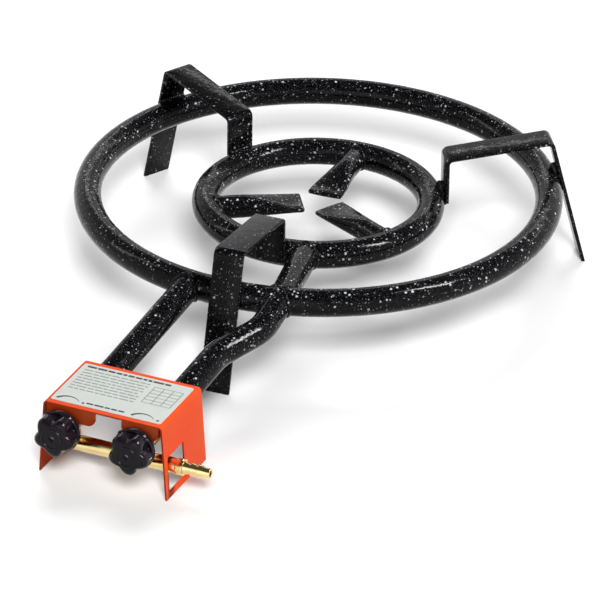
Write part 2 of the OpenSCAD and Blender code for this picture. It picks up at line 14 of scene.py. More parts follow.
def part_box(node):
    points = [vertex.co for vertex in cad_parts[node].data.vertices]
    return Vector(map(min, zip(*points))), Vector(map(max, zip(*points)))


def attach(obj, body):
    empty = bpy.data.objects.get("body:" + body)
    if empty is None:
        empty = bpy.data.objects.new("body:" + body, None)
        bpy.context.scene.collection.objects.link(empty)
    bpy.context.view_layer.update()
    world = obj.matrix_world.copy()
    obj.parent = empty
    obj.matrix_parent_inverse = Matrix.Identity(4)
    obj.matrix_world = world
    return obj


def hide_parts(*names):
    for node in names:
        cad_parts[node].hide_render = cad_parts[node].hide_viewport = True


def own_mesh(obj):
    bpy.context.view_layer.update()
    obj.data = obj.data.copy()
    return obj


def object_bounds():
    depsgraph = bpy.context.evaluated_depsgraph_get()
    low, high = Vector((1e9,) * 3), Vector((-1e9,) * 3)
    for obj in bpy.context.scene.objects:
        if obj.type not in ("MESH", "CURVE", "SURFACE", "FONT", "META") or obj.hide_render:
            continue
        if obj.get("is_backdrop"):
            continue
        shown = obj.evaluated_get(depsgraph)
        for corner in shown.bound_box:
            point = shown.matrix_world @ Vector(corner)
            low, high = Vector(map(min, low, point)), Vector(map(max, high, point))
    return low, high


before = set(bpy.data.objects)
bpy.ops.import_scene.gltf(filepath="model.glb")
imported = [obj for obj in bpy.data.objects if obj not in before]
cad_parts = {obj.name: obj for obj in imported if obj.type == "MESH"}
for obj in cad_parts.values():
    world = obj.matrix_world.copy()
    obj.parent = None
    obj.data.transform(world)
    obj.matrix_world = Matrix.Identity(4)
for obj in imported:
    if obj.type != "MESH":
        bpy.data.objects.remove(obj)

bl_info = {
    "name": "Two-ring gas burner",
    "version": (1, 0, 0),
    "blender": (4, 5, 0),
    "location": "View3D > Sidebar > Burner",
    "description": "Dresses the burner's frame with enamel, paint, brass, knobs, welds and a label",
    "category": "Object",
}

CAD_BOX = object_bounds()
MM = 0.001
TURN = 2 * np.pi
UP = np.array([0.0, 0.0, 1.0])
BODY = "burner"
TAP_SIDES = ("left", "right")


def box(node):
    """Lowest and highest corner of a node as arrays, in metres."""
    low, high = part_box(node)
    return np.array(low), np.array(high)


def middle_of(node):
    """Middle of a node's box."""
    low, high = box(node)
    return (low + high) / 2


Ring = namedtuple("Ring", "middle radius tube_radius")


def ring_of(node):
    """Middle, centre-line radius and tube radius of a ring, read off its box."""
    low, high = box(node)
    tube = (high[2] - low[2]) / 2
    return Ring(middle_of(node), (high[0] - low[0]) / 2 - tube, tube)


# Places read from the frame
OUTER_RING = ring_of("outer_ring")
INNER_RING = ring_of("inner_ring")
RING_MIDDLE = OUTER_RING.middle * (1, 1, 0)
BRACKET_LOW, BRACKET_HIGH = box("control_bracket")
LABEL_LOW, LABEL_HIGH = box("label_plate")

# Angles round the rings, in degrees, counted anticlockwise from +X
LEAD = 2.6
SUPPORT_ANGLES = {"front": 270 + LEAD, "left": 150 + LEAD, "right": 30 + LEAD}
FINGER_ANGLES = {"back": 90 + LEAD, "left": 210 + LEAD, "right": 330 + LEAD}
CROSS_ANGLE = 285  # where the inner ring's feed passes through the outer ring
JOIN_ANGLE = 288  # where it meets the inner ring

# Feed tubes: radius, and places measured from the middle of the rings
FEED_R = 11 * MM
OUTER_FEED_X = -27 * MM
OUTER_FEED_Y = -math.sqrt(OUTER_RING.radius**2 - OUTER_FEED_X**2)
FIRST_BEND = (31.5 * MM, -262 * MM)
SECOND_BEND = (51 * MM, -221 * MM)
CROSS_LIFT = 0.4 * MM  # of the inner ring's feed over the outer ring's centre line
MOUTH_IN = 40 * MM  # from the bracket's front to the open mouths
SHEET = 1.5 * MM  # thickness of the bracket
SEAT_GAP = 0.3 * MM  # between two pieces that are welded or clamped


def linear(code):
    """Linear red, green and blue of an sRGB hex colour."""
    srgb = np.array([int(code[k : k + 2], 16) for k in (1, 3, 5)]) / 255
    return tuple(np.where(srgb <= 0.04045, srgb / 12.92, ((srgb + 0.055) / 1.055) ** 2.4).tolist())


def colour(name, text, code):
    """Colour property whose default is an sRGB hex code."""
    return FloatVectorProperty(
        name=name, description=text, subtype="COLOR", size=3, min=0, max=1, default=linear(code)
    )


def length(name, text, millimetres):
    """Length property whose default is given in millimetres."""
    return FloatProperty(
        name=name, description=text, unit="LENGTH", precision=5, min=0, default=millimetres * MM
    )


def angle(name, text, degrees):
    """Angle property whose default is given in degrees."""
    default = math.radians(degrees)
    return FloatProperty(name=name, description=text, subtype="ANGLE", default=default)


def share(name, text, default):
    """Property from 0 to 1."""
    return FloatProperty(name=name, description=text, default=default, min=0, max=1)


def whole(name, text, default, least):
    """Property that counts like things."""
    return IntProperty(name=name, description=text, default=default, min=least)


class EnamelSettings(bpy.types.PropertyGroup):
    """Speckled enamel of the tubes and pan supports."""

    ground: colour("Ground", "Black ground coat", "#060608")
    speck: colour("Speck", "White specks", "#d8dadc")
    large_cell: length("Large speck spacing", "Mean spacing of the large specks", 3.7)
    small_cell: length("Small speck spacing", "Mean spacing of the small specks", 2.0)
    ragged: length("Ragged edge", "Width of the bays and points along a speck's edge", 1.1)
    grain: length("Grain", "Width of the faint grey mist between the specks", 0.9)
    peel: length("Ripple", "Width of the ripples in the fired glaze", 7)
    # Painted sheen: share of the specks kept on the supports' upward faces, which the gloss washes
    # out
    sheen_top_cover: share("Top cover", "Share of the specks left on the pan supports' tops", 0.3)


class PaintSettings(bpy.types.PropertyGroup):
    """Orange paint of the control bracket."""

    coat: colour("Coat", "Orange top coat", "#f04a18")
    worn: colour("Thin edges", "Thinner, lighter coat along the edges", "#f77a48")
    peel: length("Orange peel", "Width of the ripples in the sprayed coat", 1.6)
    edge: length("Edge", "Rounding of the sheet's edges", 0.35)


class BrassSettings(bpy.types.PropertyGroup):
    """Turned brass of the gas rail and its fittings."""

    metal: colour("Metal", "Bright brass", "#fbe9b2")
    dull: colour("Dull", "Slightly tarnished brass", "#dfbe74")
    tool_mark: length("Tool marks", "Pitch of the turning marks, drawn coarse enough to show", 0.5)


class FeedSettings(bpy.types.PropertyGroup):
    """Bent tubes from the taps to the rings."""

    bend: length("Bend", "Radius of the bends at the centre line", 40)
    wall: length("Wall", "Wall of the tubes", 1.5)
    rim: length("Rim", "Rounding of the open mouths", 0.5)


class FingerSettings(bpy.types.PropertyGroup):
    """Pinched tubes inside the inner ring."""

    diameter: length("Diameter", "Diameter of the round length", 19)
    tip_width: length("Tip width", "Width of the pinched tip", 29)
    tip_thickness: length("Tip thickness", "Thickness of the pinched tip", 4.5)
    tip_flat: length("Tip flat", "Length of the flat at the tip", 7)
    tip_radius: length("Tip distance", "Distance of the tip from the middle of the rings", 13)
    round_radius: length("Round from", "Distance from the middle where the tube is round", 62)


class SupportSettings(bpy.types.PropertyGroup):
    """Bent flat bars that carry the pan."""

    width: length("Width", "Width of the flat bar", 25)
    thickness: length("Thickness", "Thickness of the flat bar", 3)
    bend: length("Bend", "Inside radius of the bends", 3)
    edge: length("Edge", "Rounding of the bar's edges", 0.7)
    outer_height: length("Outer height", "Height of the rest at its outer end", 112)
    inner_height: length("Inner height", "Height of the rest at its inner end", 101)
    inner_end: length("Inner end", "Depth of the inner leg's end below the ring's centre line", 2)
    gap: length("Weld gap", "Gap between the bar and the rings, which the weld fills", 0.1)
    splay: angle("Splay", "Outward slope of the legs", 15)


class WeldSettings(bpy.types.PropertyGroup):
    """Weld beads under the enamel."""

    tube_bead: length("Tube bead", "Radius of the bead where a tube meets a ring", 2.0)
    leg_bead: length("Leg bead", "Radius of the bead between a leg and a ring", 2.8)
    leg_spread: length("Leg spread", "Distance of a leg's beads from the line of contact", 6)
    ripple: length("Ripple", "Pitch of the ripples along a bead", 2.4)


class LabelSettings(bpy.types.PropertyGroup):
    """Label on the bracket with flame-size marks and plain rules."""

    face: colour("Face", "Pale satin face", "#d6dad5")
    ink: colour("Ink", "Dark ink", "#3a3f42")
    pale_ink: colour("Pale ink", "Grey ink", "#9aa09f")
    corner: length("Corner", "Radius of the label's corners", 2)
    ink_height: length("Ink height", "Thickness of the ink, drawn thick enough to show", 0.06)


class KnobSettings(bpy.types.PropertyGroup):
    """Star-shaped tap knobs."""

    plastic: colour("Plastic", "Black with a slight violet cast", "#0f0a10")
    lobe: length("Lobe", "Radius of the lobes", 17)
    hollow: length("Hollow", "Radius of the hollows", 12.8)
    face: length("Face", "Radius of the round face", 10)
    skirt: length("Skirt", "Radius of the round skirt", 17)
    skirt_depth: length("Skirt depth", "Thickness of the skirt", 4.5)
    lobes: whole("Lobes", "Number of lobes", 5, 3)
    phase: angle("Phase", "Angle of the first lobe", 203)


class NozzleSettings(bpy.types.PropertyGroup):
    """Barbed hose nozzle."""

    across_flats: length("Across flats", "Width across the collar's flats", 13)
    collar: length("Collar", "Length of the collar", 6)
    barb: length("Barb", "Radius of a barb's edge", 5.3)
    barb_length: length("Barb length", "Length of one barb", 6)
    barbs: whole("Barbs", "Number of barbs", 3, 1)
    root: length("Root", "Radius of the nozzle between two barbs", 3.5)
    tip: length("Tip", "Radius of the plain tip", 4)
    bore: length("Bore", "Radius of the bore", 2.5)
    shank: length("Shank", "Radius of the shank in the rail", 3.9)
    shank_length: length("Shank length", "Length of the shank in the rail", 6)


class SpringSettings(bpy.types.PropertyGroup):
    """Springs that push the spindles out."""

    wire: length("Wire", "Diameter of the wire", 0.6)
    turns: whole("Turns", "Number of turns", 3, 1)


class StageSettings(bpy.types.PropertyGroup):
    """Camera, floor and lamps."""

    lens: length("Lens", "Focal length on a 36 mm sensor", 308.55)
    distance: length("Distance", "Camera's distance from the point it looks at", 4208.24)
    azimuth: angle("Azimuth", "Camera's turn to the right", 23.88)
    elevation: angle("Elevation", "Camera's angle above the floor", 28.53)
    roll: angle("Roll", "Camera's turn about its own axis", 0.84)
    floor: colour("Floor", "Pale floor", "#f0f0f0")
    floor_bounce: colour("Floor bounce", "Darker tone that the floor throws back", "#6c6c6c")
    overhead: colour("Overhead", "Tone of the surround above the burner", "#4a4a4c")
    fill: share("Fill", "Strength of the surround's soft light on the burner", 0.3)


def unit(vectors):
    """Vectors of length one."""
    return vectors / np.linalg.norm(vectors, axis=-1, keepdims=True)


def even_angles(count):
    """Angles at even steps round a full circle."""
    return np.linspace(0, TURN, count, endpoint=False)


def circle(first, second, count):
    """Unit vectors at even angles round from first through second, for each pair of them."""
    u = even_angles(count)[:, None]
    return np.cos(u) * first[..., None, :] + np.sin(u) * second[..., None, :]


def circle_round(way, lean, count):
    """Circle square to each direction, starting on the side that is square to lean too."""
    side = unit(np.cross(way, lean))
    return circle(side, np.cross(side, way), count)


def spoke(degrees):
    """Unit vectors along a radius of the rings and across it."""
    a = math.radians(degrees)
    return np.array([math.cos(a), math.sin(a), 0]), np.array([-math.sin(a), math.cos(a), 0])


def on_ring(ring, degrees, lift=0):
    """Point at an angle on a ring's centre line, or a lift above it."""
    return RING_MIDDLE + ring.radius * spoke(degrees)[0] + (ring.middle[2] + lift) * UP


def ease(part):
    """Half straight, half smooth step from 0 to 1."""
    return 0.5 * part + 0.5 * part**2 * (3 - 2 * part)


def grid_faces(points, wrap_rows, base):
    """Outward faces of a closed grid whose first vertex has the number base.

    The columns close round. The rows do too if wrap_rows is true, and otherwise each end has a cap.
    All are turned round where the volume inside them comes out negative.
    """
    rows, columns = points.shape[:2]
    flat = points.reshape(-1, 3) - points.reshape(-1, 3).mean(0)
    bands = rows if wrap_rows else rows - 1
    r, c = np.meshgrid(np.arange(bands), np.arange(columns), indexing="ij")
    here, below, beside = r * columns, (r + 1) % rows * columns, (c + 1) % columns
    quads = np.stack([here + c, here + beside, below + beside, below + c], -1).reshape(-1, 4)
    first, second, third, fourth = (flat[quads[:, k]] for k in range(4))
    volume = np.sum(first * (np.cross(second, third) + np.cross(third, fourth)))
    caps = []
    if not wrap_rows:
        caps = [np.arange(columns)[::-1], np.arange(columns) + (rows - 1) * columns]
        for cap in caps:
            volume += np.sum(flat[cap[:1]] * np.cross(flat[cap[1:-1]], flat[cap[2:]]))
    order = 1 if volume > 0 else -1
    return (base + quads[:, ::order]).tolist() + [(base + cap[::order]).tolist() for cap in caps]


def put(name, data):
    """Object with its data, linked into the scene."""
    made = bpy.data.objects.new(name, data)
    bpy.context.scene.collection.objects.link(made)
    return made


def smooth_object(name, mesh, sharp):
    """Object that is smooth apart from edges sharper than an angle in degrees."""
    mesh.shade_smooth()
    mesh.set_sharp_from_angle(angle=math.radians(sharp))
    return put(name, mesh)


def coat(mesh, material):
    """Makes a material the only one of a mesh."""
    mesh.materials.clear()
    mesh.materials.append(material)


def seat(piece, material, body, stands_for):
    """Gives a piece its material, sets it on its body and lets it stand for a CAD node."""
    coat(piece.data, material)
    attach(piece, body)
    if stands_for:
        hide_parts(stands_for)
    return piece


def make_piece(name, grids, material, body=BODY, stands_for=None, wrap_rows=False, sharp=35):
    """One piece from several grids of points, each a closed surface."""
    vertices, faces, base = [], [], 0
    for points in grids:
        faces += grid_faces(points, wrap_rows, base)
        vertices.append(points.reshape(-1, 3))
        base += len(vertices[-1])
    mesh = bpy.data.meshes.new(name)
    mesh.from_pydata(np.vstack(vertices).tolist(), [], faces)
    return seat(smooth_object(name, mesh, sharp), material, body, stands_for)


def softened_copy(node, name, width, material):
    """A copy of a sheet-metal node with its edges rounded, standing for that node."""
    doubles, level, sharp, bevelled = 0.01 * MM, math.radians(0.5), 30, math.radians(40)
    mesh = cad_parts[node].data.copy()
    mesh.name = name
    work = bmesh.new()
    work.from_mesh(mesh)
    bmesh.ops.remove_doubles(work, verts=work.verts, dist=doubles)
    bmesh.ops.dissolve_limit(work, angle_limit=level, verts=work.verts, edges=work.edges)
    work.to_mesh(mesh)
    work.free()
    made = smooth_object(name, mesh, sharp)
    bevel = made.modifiers.new("rounded edges", "BEVEL")
    bevel.width = width
    bevel.segments = 2
    bevel.limit_method = "ANGLE"
    bevel.angle_limit = bevelled
    bevel.harden_normals = True
    return seat(made, material, BODY, node)


def dress(nodes, material):
    """Gives CAD nodes a material."""
    for node in nodes:
        coat(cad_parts[node].data, material)


def add_node(tree, kind, inputs=None, output=0, to=None, **settings):
    """Adds a shader node, sets its properties, and sets or links its inputs.

    Returns the output asked for, linked to the socket given as to, if there is one.
    """
    made = tree.nodes.new(f"ShaderNode{kind}")
    for key, value in settings.items():
        setattr(made, key, value)
    for key, value in (inputs or {}).items():
        if isinstance(value, bpy.types.NodeSocket):
            tree.links.new(value, made.inputs[key])
        else:
            made.inputs[key].default_value = value
    if to is not None:
        tree.links.new(made.outputs[output], to)
    return made.outputs[output]


def nodes_of(owner):
    """Node tree of a material or world, and the function that adds nodes to it."""
    owner.use_nodes = True
    return owner.node_tree, partial(add_node, owner.node_tree)


def finish(make, name, *inputs):
    """The material of that name, made the first time that it is asked for.

    Its maker gets the function that adds nodes, the shader's inputs and the object coordinates.
    """
    material = bpy.data.materials.get(name)
    if material is None:
        material = bpy.data.materials.new(name)
        tree, add = nodes_of(material)
        place = add("TexCoord", output="Object")
        make(add, tree.nodes["Principled BSDF"].inputs, place, *inputs)
    return material


def uneven_gloss(add, surface, place, width, detail, low, high):
    """Noise of a width in metres, which spreads the roughness from low to high."""
    noise = add("TexNoise", {"Vector": place, "Scale": 1 / width, "Detail": detail})
    add("MapRange", {"Value": noise, "To Min": low, "To Max": high}, to=surface["Roughness"])
    return noise


def specks(add, place, cell, radii, tones):
    """Round specks: each cell's own random tone inside its own radius, a share of the cell."""
    soft = 0.05
    away = add("TexVoronoi", {"Vector": place, "Scale": 1 / cell})
    chance = add("SeparateColor", {"Color": away.node.outputs["Color"]}).node.outputs
    radius, tone = (
        add("MapRange", {"Value": value, "To Min": low, "To Max": high})
        for value, (low, high) in ((chance["Red"], radii), (chance["Green"], tones))
    )
    inside = add("Math", {0: radius, 1: away}, operation="SUBTRACT")
    edge = {"Value": inside, "From Min": -soft, "From Max": soft, "To Max": tone}
    return add("MapRange", edge)


# Vitreous enamel, glass frit fired on steel: glossy black with fused white specks and a slow
# ripple; on the pan supports, fewer specks on upward faces: painted sheen that washes them out
def vitreous_enamel(add, surface, place, look, sheen_top_cover):
    proud = 0.12  # height of the specks as a share of the ripple's
    bays = {"Vector": place, "Scale": 1 / look.ragged, "Detail": 1.0}
    shift = {0: add("TexNoise", bays, "Color"), 1: (look.ragged,) * 3, 2: place}
    ragged = add("VectorMath", shift, operation="MULTIPLY_ADD")
    large = specks(add, ragged, look.large_cell, radii=(-0.16, 0.30), tones=(0.3, 1.0))
    small = specks(add, ragged, look.small_cell, radii=(-0.15, 0.32), tones=(0.1, 0.55))
    both = add("Math", {0: large, 1: small}, operation="MAXIMUM")
    grain = add("TexNoise", {"Vector": place, "Scale": 1 / look.grain, "Detail": 2.0})
    mist = add("MapRange", {"Value": grain, "From Min": 0.55, "From Max": 0.8, "To Max": 0.1})
    cover = add("Math", {0: both, 1: mist}, operation="MAXIMUM")
    # Painted sheen: upward faces keep only a share of the specks, as if the reflection washed them
    # out
    if sheen_top_cover < 1:
        level = add("SeparateXYZ", {"Vector": add("NewGeometry", output="True Normal")}, "Z")
        thinning = {"From Min": 0.75, "From Max": 0.95, "To Min": 1.0, "To Max": sheen_top_cover}
        left = add("MapRange", {"Value": level, **thinning})
        cover = add("Math", {0: cover, 1: left}, operation="MULTIPLY")
    tint = {"Factor": cover, "A": (*look.ground, 1), "B": (*look.speck, 1)}
    add("Mix", tint, "Result", surface["Base Color"], data_type="RGBA")
    ripple = uneven_gloss(add, surface, place, look.peel, detail=2.0, low=0.07, high=0.20)
    relief = add("Math", {0: both, 1: proud, 2: ripple}, operation="MULTIPLY_ADD")
    add("Bump", {"Height": relief, "Distance": 0.25 * MM}, to=surface["Normal"])
    surface["IOR"].default_value = 1.2


# Sprayed orange paint on folded sheet: even gloss with fine orange peel, and a thinner, paler coat
# along the edges
def sprayed_paint(add, surface, place, look):
    edges = add("NewGeometry", output="Pointiness")
    thin = add("MapRange", {"Value": edges, "From Min": 0.52, "From Max": 0.62})
    patch = uneven_gloss(add, surface, place, width=14 * MM, detail=3.0, low=0.30, high=0.42)
    thinning = add("Math", {0: thin, 1: patch}, operation="MULTIPLY")
    tint = {"Factor": thinning, "A": (*look.coat, 1), "B": (*look.worn, 1)}
    add("Mix", tint, "Result", surface["Base Color"], data_type="RGBA")
    peel = add("TexNoise", {"Vector": place, "Scale": 1 / look.peel, "Detail": 1.0})
    add("Bump", {"Height": peel, "Distance": 0.03 * MM}, to=surface["Normal"])
    surface["IOR"].default_value = 1.16


# Free-cutting brass, turned bright: yellow metal with fine turning rings and a little tarnish
def turned_brass(add, surface, place, look):
    stain = uneven_gloss(add, surface, place, width=9 * MM, detail=3.0, low=0.10, high=0.24)
    tint = {"Factor": stain, "A": (*look.metal, 1), "B": (*look.dull, 1)}
    add("Mix", tint, "Result", surface["Base Color"], data_type="RGBA")
    marks = {"Vector": place, "Scale": 1 / (look.tool_mark * TURN), "Distortion": 0.4}
    rings = add("TexWave", marks, "Fac", bands_direction="X")
    add("Bump", {"Height": rings, "Distance": 0.006 * MM}, to=surface["Normal"])
    surface["Metallic"].default_value = 1.0


# Bright drawn steel of the spindles and springs: grey metal with faint lengthwise drawing lines
def drawn_steel(add, surface, place):
    drawn = add("Mapping", {"Vector": place, "Scale": (1, 0.1, 1)})
    uneven_gloss(add, surface, drawn, width=0.5 * MM, detail=2.0, low=0.2, high=0.4)
    surface["Base Color"].default_value = (*linear("#a9aeb2"), 1)
    surface["Metallic"].default_value = 1.0


# Moulded phenolic of the knobs: deep black gloss with a faint flow mottle
def moulded_phenolic(add, surface, place, look):
    flow = uneven_gloss(add, surface, place, width=5 * MM, detail=3.0, low=0.04, high=0.1)
    add("Bump", {"Height": flow, "Distance": 0.05 * MM}, to=surface["Normal"])
    surface["Base Color"].default_value = (*look.plastic, 1)
    surface["IOR"].default_value = 1.25


# Satin vinyl film of the label and the ink on it: slightly mottled, with a soft sheen
def satin_vinyl(add, surface, place, tone, low, high):
    mottle = uneven_gloss(add, surface, place, width=12 * MM, detail=4.0, low=low, high=high)
    shade = add("MapRange", {"Value": mottle, "To Min": 0.9, "To Max": 1.06})
    tint = {0: tone, "Scale": shade}
    add("VectorMath", tint, to=surface["Base Color"], operation="SCALE")
    surface["IOR"].default_value = 1.46


def enamel(scene):
    """Enamel of the rings, tubes and welds."""
    return finish(vitreous_enamel, "vitreous_enamel", scene.burner_enamel, 1.0)


def finger_grid(finger, degrees):
    """Pinched tube along a radius.

    A section at radius r is a flat oval: y = (w - t) / 2 clip(flat cos u) + t / 2 cos u and
    z = t / 2 sin u. Width w and thickness t run from the tip's to the tube's diameter, the tip's
    edge is rounded off, and the last row is where each wall line meets the inner ring's tube.
    """
    middle, ring_r, tube_r = INNER_RING
    flat, blunt, edge_rows, pinch_rows, columns = 1.6, 0.08, 6, 40, 64
    past_pinch, last_row = 1 * MM, 4 * MM
    edge = np.linspace(blunt, 0.5, edge_rows) * np.pi
    tip = finger.tip_radius + finger.tip_thickness / 2 * (1 - np.cos(edge))
    pinch_from = finger.tip_radius + finger.tip_flat
    pinch = np.linspace(pinch_from, finger.round_radius + past_pinch, pinch_rows)
    radius = np.concatenate([tip, pinch, [finger.round_radius + last_row]])[:, None]
    part = ease(np.clip((radius - pinch_from) / (finger.round_radius - pinch_from), 0, 1))
    trim = np.zeros(radius.shape)
    trim[:edge_rows, 0] = (1 - np.sin(edge)) * finger.tip_thickness
    width = finger.tip_width + (finger.diameter - finger.tip_width) * part - trim
    thick = finger.tip_thickness + (finger.diameter - finger.tip_thickness) * part - trim
    u = even_angles(columns)
    y = (width - thick) / 2 * np.clip(flat * np.cos(u), -1, 1) + thick / 2 * np.cos(u)
    z = thick / 2 * np.sin(u)
    x = np.repeat(radius, columns, 1)
    end = np.sqrt((ring_r - np.sqrt(tube_r**2 - z[-1] ** 2) + SEAT_GAP) ** 2 - y[-1] ** 2)
    x, y, z = (np.vstack(rows)[..., None] for rows in ((x, end), (y, y[-1]), (z, z[-1])))
    radial, side = spoke(degrees)
    return middle + x * radial + y * side + z * UP


def bent_line(corners, radius, steps=8):
    """Points of a flat polyline whose corners are arcs of one radius."""
    line = [corners[0]]
    for before, corner, after in zip(corners, corners[1:], corners[2:]):
        u, v = unit(corner - before), unit(after - corner)
        turn = math.acos(float(np.clip(u @ v, -1, 1)))
        start = corner - u * radius * math.tan(turn / 2)
        side = unit(v - (u @ v) * u)
        a = np.linspace(0, turn, steps + 1)[:, None]
        line += list(start + radius * (np.sin(a) * u + (1 - np.cos(a)) * side))
    return np.array(line + [corners[-1]])


def rounded_rectangle(width, height, radius, steps=4):
    """Outline of a rectangle with round corners, anticlockwise: a quarter circle at each corner."""
    a = np.linspace(0, np.pi / 2, steps + 1) + np.arange(4)[:, None] * np.pi / 2
    signs = np.array([[1, 1], [-1, 1], [-1, -1], [1, -1]])[:, None]
    centres = signs * (width / 2 - radius, height / 2 - radius)
    return (centres + radius * np.stack([np.cos(a), np.sin(a)], -1)).reshape(-1, 2)


def leg_reach(bar, height):
    """Radius of a leg's outer face at a height: its slope clears the outer ring by bar and weld."""
    middle, ring_r, tube_r = OUTER_RING
    sine, cosine = math.sin(bar.splay), math.cos(bar.splay)
    reach = cosine * ring_r + sine * middle[2] + tube_r + bar.gap + bar.thickness
    return (reach - sine * height) / cosine


def support_line(bar):
    """Middle line of a support in its radial plane, half a bar inside its outer face.

    It goes from the foot through the two bends to the inner end.
    """
    middle, ring_r, tube_r = INNER_RING
    inner, half, rest = ring_r + tube_r + bar.gap, bar.thickness / 2, bar.outer_height
    outer = np.array([
        [leg_reach(bar, 0), 0],
        [leg_reach(bar, rest), rest],
        [inner, bar.inner_height],
        [inner, middle[2] - bar.inner_end],
    ])
    way = unit(np.diff(outer, axis=0))
    left = np.stack([-way[:, 1], way[:, 0]], -1)
    between = unit(left[:-1] + left[1:])
    bends = outer[1:3] + half / np.sum(between * left[:-1], -1, keepdims=True) * between
    corners = np.vstack([outer[0] + half * left[0], bends, outer[3] + half * left[-1]])
    return bent_line(corners, bar.bend + half)


def support_grid(bar, degrees):
    """Rounded flat-bar section carried along the support's middle line, its foot cut level."""
    line = support_line(bar)
    way = unit(np.gradient(line, axis=0))
    profile = rounded_rectangle(bar.width, bar.thickness, bar.edge)
    radial, side = spoke(degrees)
    centre = RING_MIDDLE + line[:, :1] * radial + line[:, 1:] * UP
    across = -way[:, 1:] * radial + way[:, :1] * UP
    points = centre[:, None] + profile[None, :, :1] * side + profile[None, :, 1:] * across[:, None]
    run = way[0, 0] * radial + way[0, 1] * UP
    points[0] -= points[0][:, 2:] / run[2] * run
    return points


def bead_grid(path, radius, pitch, closed, lean):
    """Weld bead: a circle carried along a seam.

    Its radius swells as |sin| once for each ripple, and on an open seam it closes as a half ellipse
    at both ends.
    """
    valley, crest, blunt, columns = 0.88, 0.16, 0.02, 14
    step = np.roll(path, -1, 0) - np.roll(path, 1, 0) if closed else np.gradient(path, axis=0)
    gaps = np.linalg.norm(np.diff(path, axis=0, append=path[:1]), axis=1)
    total = gaps.sum() if closed else gaps[:-1].sum()
    run = np.concatenate([[0], np.cumsum(gaps)[:-1]])
    ripples = round(total / pitch)
    size = radius * (valley + crest * np.abs(np.sin(np.pi * ripples * run / total)))
    if not closed:
        end = np.clip(np.minimum(run, total - run) / radius, blunt, 1)
        size = size * np.sqrt(1 - (1 - end) ** 2)
    return path[:, None] + size[:, None, None] * circle_round(unit(step), lean, columns)


def tube_seam(foot, aim, radius, ring, count=120):
    """Curve where a straight tube meets a ring, and the tube's direction.

    Each line along the tube's wall is halved again and again, to the place where its distance from
    the ring's centre line equals the ring's tube radius.
    """
    middle, ring_r, tube_r = ring
    halvings, farthest = 40, 4 * tube_r
    way = unit(aim - foot)
    start = foot + radius * circle_round(way, UP, count)
    near, far = np.zeros((count, 1)), np.full((count, 1), farthest)
    for _ in range(halvings):
        half = (near + far) / 2
        offset = start + half * way - middle
        gap = np.hypot(np.hypot(offset[:, 0], offset[:, 1]) - ring_r, offset[:, 2]) - tube_r
        inside = gap[:, None] < 0
        near, far = np.where(inside, half, near), np.where(inside, far, half)
    return start + near * way, way


def on_slope(x, y):
    """Point of a feed tube's centre line, on the slope from the outer ring to the bracket."""
    rear = BRACKET_HIGH[1] - RING_MIDDLE[1]
    low = BRACKET_HIGH[2] - SHEET - SEAT_GAP - FEED_R
    rise = (OUTER_RING.middle[2] - low) * (y - rear) / (OUTER_FEED_Y - rear)
    return RING_MIDDLE + np.array([x, y, low + rise])


def feed_mouth(side):
    """Middle of a feed tube's open mouth, behind its tap."""
    x = middle_of(f"{side}_knob")[0] - RING_MIDDLE[0]
    return on_slope(x, BRACKET_LOW[1] + MOUTH_IN - RING_MIDDLE[1])


def feed_routes():
    """Corners of both feed tubes' centre lines from ring to mouth, and the ring that each feeds."""
    outer = [on_slope(OUTER_FEED_X, OUTER_FEED_Y), feed_mouth("left")]
    inner = [
        on_ring(INNER_RING, JOIN_ANGLE),
        on_ring(OUTER_RING, CROSS_ANGLE, CROSS_LIFT),
        on_slope(*SECOND_BEND),
        on_slope(*FIRST_BEND),
        feed_mouth("right"),
    ]
    return {"outer": (outer, OUTER_RING), "inner": (inner, INNER_RING)}


def feed_grid(tube, corners, ring):
    """Bent tube from a ring to its open mouth.

    A circle is carried along the bent centre line, from the curve where the tube meets the ring,
    round the mouth's rim and back along the bore.
    """
    bend_steps, rim_rows, columns = 12, 7, 72
    line = bent_line(corners, tube.bend, bend_steps)
    way = unit(np.gradient(line, axis=0))
    around = circle_round(way, UP, columns)
    seam, _ = tube_seam(corners[0], corners[1], FEED_R, ring, columns)
    a = np.linspace(0, np.pi, rim_rows)[:, None, None]
    out = tube.rim * np.sin(a) - tube.rim
    edge = FEED_R - tube.wall / 2 * (1 - np.cos(a))
    lip = line[-1] + out * way[-1] + edge * around[-1]
    bore = line[:-1][::-1, None] + (FEED_R - tube.wall) * around[:-1][::-1]
    return np.concatenate([seam[None], line[1:-1, None] + FEED_R * around[1:-1], lip, bore])


def tube_seams(finger_r):
    """Seams of the fingers and the feed tubes on the rings, as (points, tube direction)."""
    for degrees in FINGER_ANGLES.values():
        foot = on_ring(INNER_RING, degrees)
        yield tube_seam(foot, INNER_RING.middle, finger_r, INNER_RING)
    (outer, _), (inner, _) = feed_routes().values()
    yield tube_seam(outer[0], outer[1], FEED_R, OUTER_RING)
    yield tube_seam(inner[0], inner[1], FEED_R, INNER_RING)
    yield tube_seam(inner[1], inner[0], FEED_R, OUTER_RING)
    yield tube_seam(inner[1], inner[2], FEED_R, OUTER_RING)


def leg_seams(bar, spread):
    """Seams above and below the line where each leg touches a ring, as (points, leg direction).

    An inner leg ends just below that line, so its lower seam runs along the leg's end.
    """
    short, count = 2 * MM, 60
    across = np.linspace(-0.5, 0.5, count)[:, None] * (bar.width - short)
    legs = ((OUTER_RING, bar.splay, spread), (INNER_RING, 0.0, bar.inner_end))
    for degrees in SUPPORT_ANGLES.values():
        radial, side = spoke(degrees)
        for (middle, ring_r, tube_r), lean, below in legs:
            reach = np.sqrt(ring_r**2 - across**2)
            out = math.cos(lean) * radial + math.sin(lean) * UP
            along = math.cos(lean) * UP - math.sin(lean) * radial
            for rise in (-below, spread):
                depth = (tube_r + math.sqrt(tube_r**2 - rise**2)) / 2
                yield middle + reach * radial + across * side + depth * out + rise * along, along


